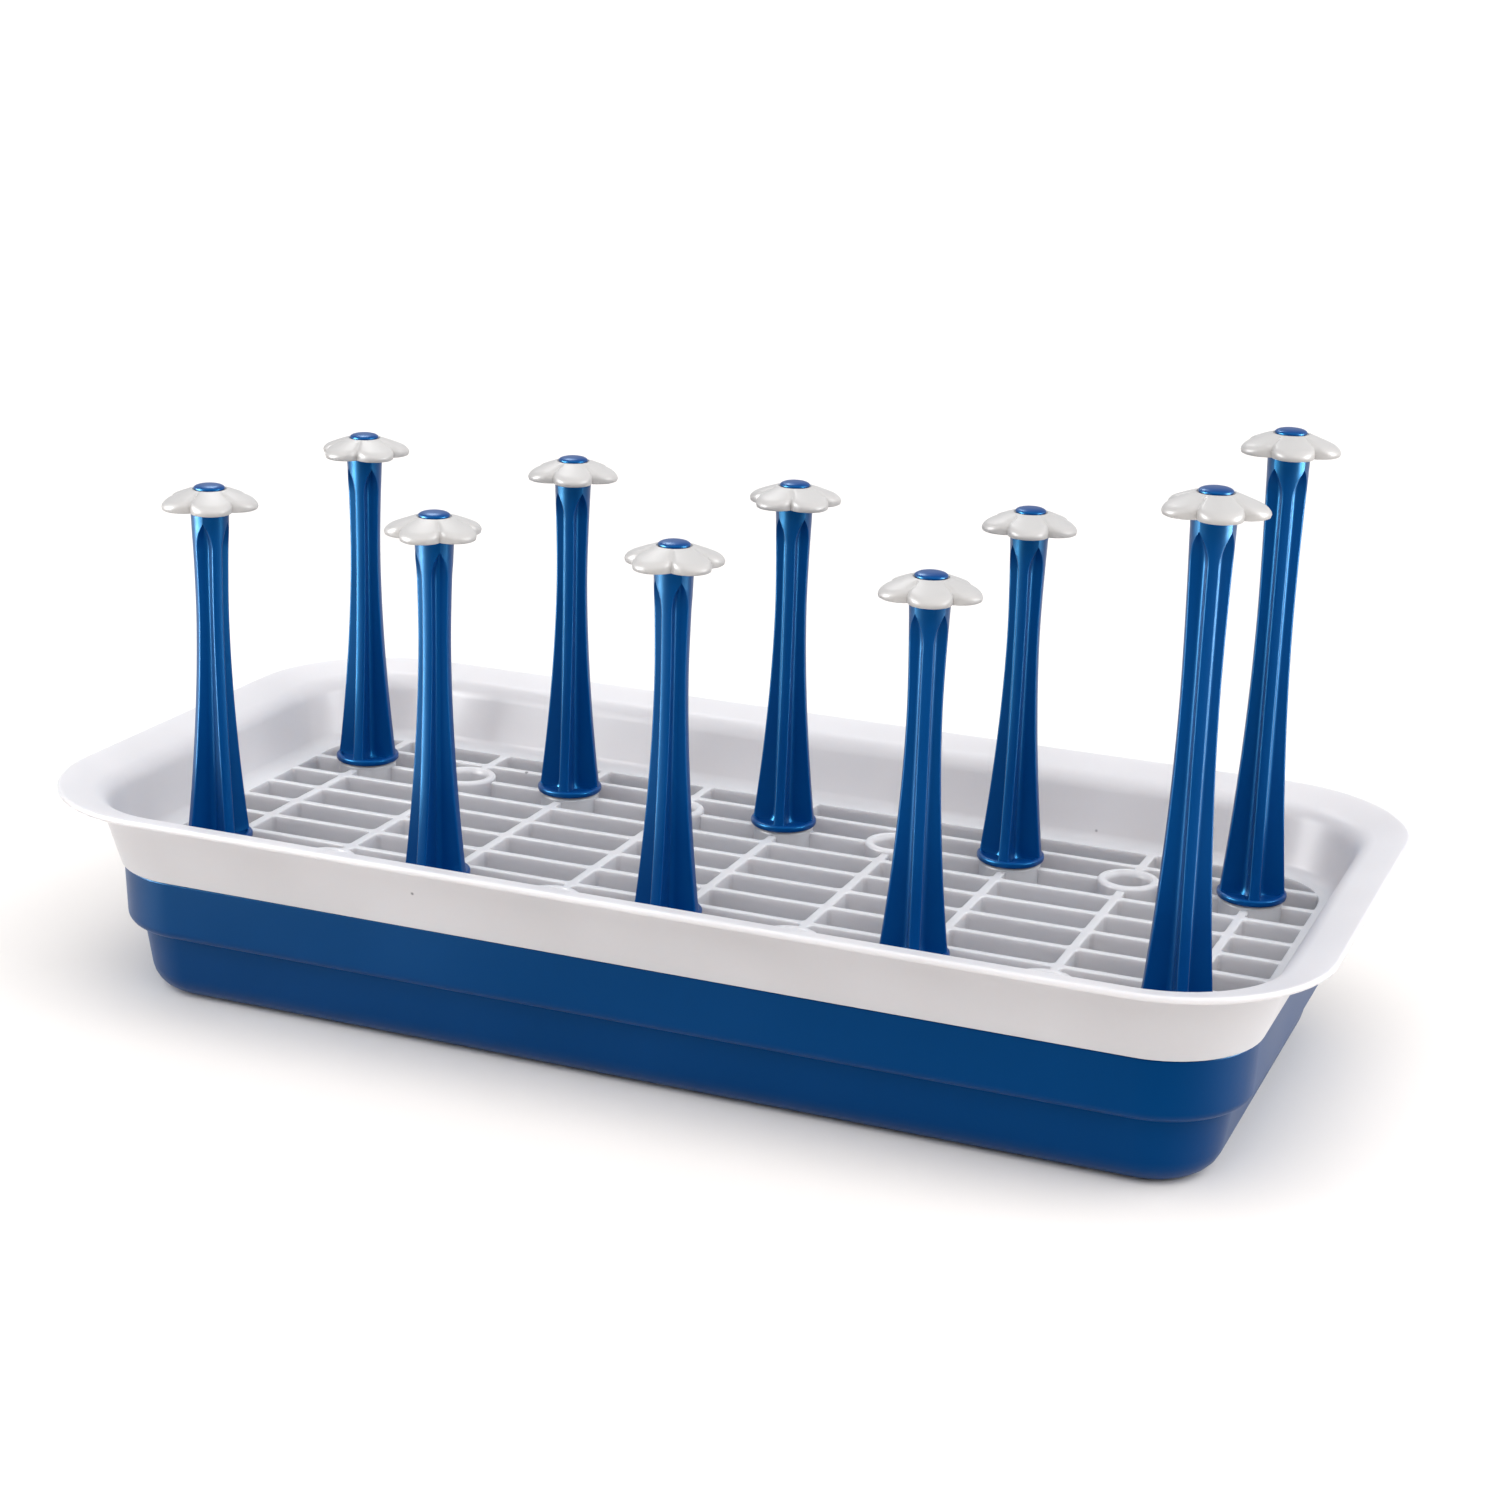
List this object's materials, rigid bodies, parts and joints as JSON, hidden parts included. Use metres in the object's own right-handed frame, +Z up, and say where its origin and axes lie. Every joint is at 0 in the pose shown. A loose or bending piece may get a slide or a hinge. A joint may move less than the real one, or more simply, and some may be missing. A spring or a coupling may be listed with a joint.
{
  "type": "bottle drying rack",
  "caption": "Long two-tone drying rack: a stepped drip tray, a flared basket with a slotted floor and round sockets, and lift-out fluted pegs with flower caps.",
  "frame": {"origin": "on the floor, under the middle of the drip tray", "axes": "+X along the rack's length towards its two tall pegs, +Y towards the back row of pegs, +Z up"},
  "size_m": [0.4, 0.203, 0.1918],
  "materials": {
    "tray_blue": "glossy moulded dark blue plastic",
    "basket_white": "soft-gloss moulded white plastic",
    "peg_blue": "glossy moulded blue plastic",
    "petal_white": "soft-gloss moulded warm white plastic"
  },
  "bodies": {
    "tray": {"drip_tray": "tray_blue"},
    "basket": {"basket": "basket_white"},
    "peg_front_1": {"stem_front_1": "peg_blue", "petals_front_1": "petal_white", "button_front_1": "peg_blue"},
    "peg_front_2": {"stem_front_2": "peg_blue", "petals_front_2": "petal_white", "button_front_2": "peg_blue"},
    "peg_front_3": {"stem_front_3": "peg_blue", "petals_front_3": "petal_white", "button_front_3": "peg_blue"},
    "peg_front_4": {"stem_front_4": "peg_blue", "petals_front_4": "petal_white", "button_front_4": "peg_blue"},
    "peg_front_5": {"stem_front_5": "peg_blue", "petals_front_5": "petal_white", "button_front_5": "peg_blue"},
    "peg_back_1": {"stem_back_1": "peg_blue", "petals_back_1": "petal_white", "button_back_1": "peg_blue"},
    "peg_back_2": {"stem_back_2": "peg_blue", "petals_back_2": "petal_white", "button_back_2": "peg_blue"},
    "peg_back_3": {"stem_back_3": "peg_blue", "petals_back_3": "petal_white", "button_back_3": "peg_blue"},
    "peg_back_4": {"stem_back_4": "peg_blue", "petals_back_4": "petal_white", "button_back_4": "peg_blue"},
    "peg_back_5": {"stem_back_5": "peg_blue", "petals_back_5": "petal_white", "button_back_5": "peg_blue"}
  },
  "joints": [
    {"name": "basket_lift", "type": "slide", "parent": "tray", "child": "basket", "axis": [0, 0, 1], "range_m": [0, 0.08]},
    {"name": "peg_front_1_pull", "type": "slide", "parent": "basket", "child": "peg_front_1", "axis": [0, 0, 1], "range_m": [0, 0.05]},
    {"name": "peg_front_2_pull", "type": "slide", "parent": "basket", "child": "peg_front_2", "axis": [0, 0, 1], "range_m": [0, 0.05]},
    {"name": "peg_front_3_pull", "type": "slide", "parent": "basket", "child": "peg_front_3", "axis": [0, 0, 1], "range_m": [0, 0.05]},
    {"name": "peg_front_4_pull", "type": "slide", "parent": "basket", "child": "peg_front_4", "axis": [0, 0, 1], "range_m": [0, 0.05]},
    {"name": "peg_front_5_pull", "type": "slide", "parent": "basket", "child": "peg_front_5", "axis": [0, 0, 1], "range_m": [0, 0.05]},
    {"name": "peg_back_1_pull", "type": "slide", "parent": "basket", "child": "peg_back_1", "axis": [0, 0, 1], "range_m": [0, 0.05]},
    {"name": "peg_back_2_pull", "type": "slide", "parent": "basket", "child": "peg_back_2", "axis": [0, 0, 1], "range_m": [0, 0.05]},
    {"name": "peg_back_3_pull", "type": "slide", "parent": "basket", "child": "peg_back_3", "axis": [0, 0, 1], "range_m": [0, 0.05]},
    {"name": "peg_back_4_pull", "type": "slide", "parent": "basket", "child": "peg_back_4", "axis": [0, 0, 1], "range_m": [0, 0.05]},
    {"name": "peg_back_5_pull", "type": "slide", "parent": "basket", "child": "peg_back_5", "axis": [0, 0, 1], "range_m": [0, 0.05]}
  ]
}
